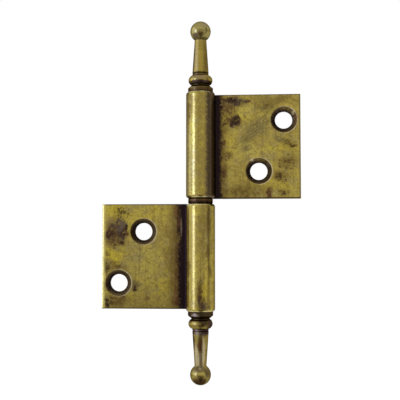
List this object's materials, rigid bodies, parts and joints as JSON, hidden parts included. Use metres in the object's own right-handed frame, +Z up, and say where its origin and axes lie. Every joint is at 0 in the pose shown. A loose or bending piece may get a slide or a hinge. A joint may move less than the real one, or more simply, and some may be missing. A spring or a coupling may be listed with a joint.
{
  "type": "furniture flag hinge",
  "caption": "Lift-off flag hinge in aged brass for a cabinet door: offset leaves with countersunk screw holes, round knuckles on a hidden pin, a bearing ring and turned ball finials.",
  "frame": {"origin": "on the pin's axis, halfway up the bearing ring, which is the middle of the whole hinge", "axes": "+Z up along the pin to the door leaf's finial, +X to the door leaf when the hinge lies flat, -Y to the countersunk faces"},
  "size_m": [0.055, 0.008, 0.1],
  "materials": {
    "aged_brass": "drawn brass with a dark, blotchy antique patina",
    "turned_brass": "turned brass with a dark antique patina in its grooves",
    "dark_brass": "brass, almost black with patina",
    "pin_steel": "ground steel, lightly oiled"
  },
  "bodies": {
    "frame_leaf": {"lower_leaf": "aged_brass", "hinge_pin": "pin_steel", "lower_finial": "turned_brass"},
    "ring": {"bearing_ring": "dark_brass"},
    "door_leaf": {"upper_leaf": "aged_brass", "upper_finial": "turned_brass"}
  },
  "joints": [
    {"name": "leaf_turn", "type": "hinge", "parent": "frame_leaf", "child": "ring", "pos_m": [0, 0, 0], "axis": [0, 0, 1], "continuous": true},
    {"name": "lift_off", "type": "slide", "parent": "ring", "child": "door_leaf", "axis": [0, 0, 1], "range_m": [0, 0.022]}
  ]
}
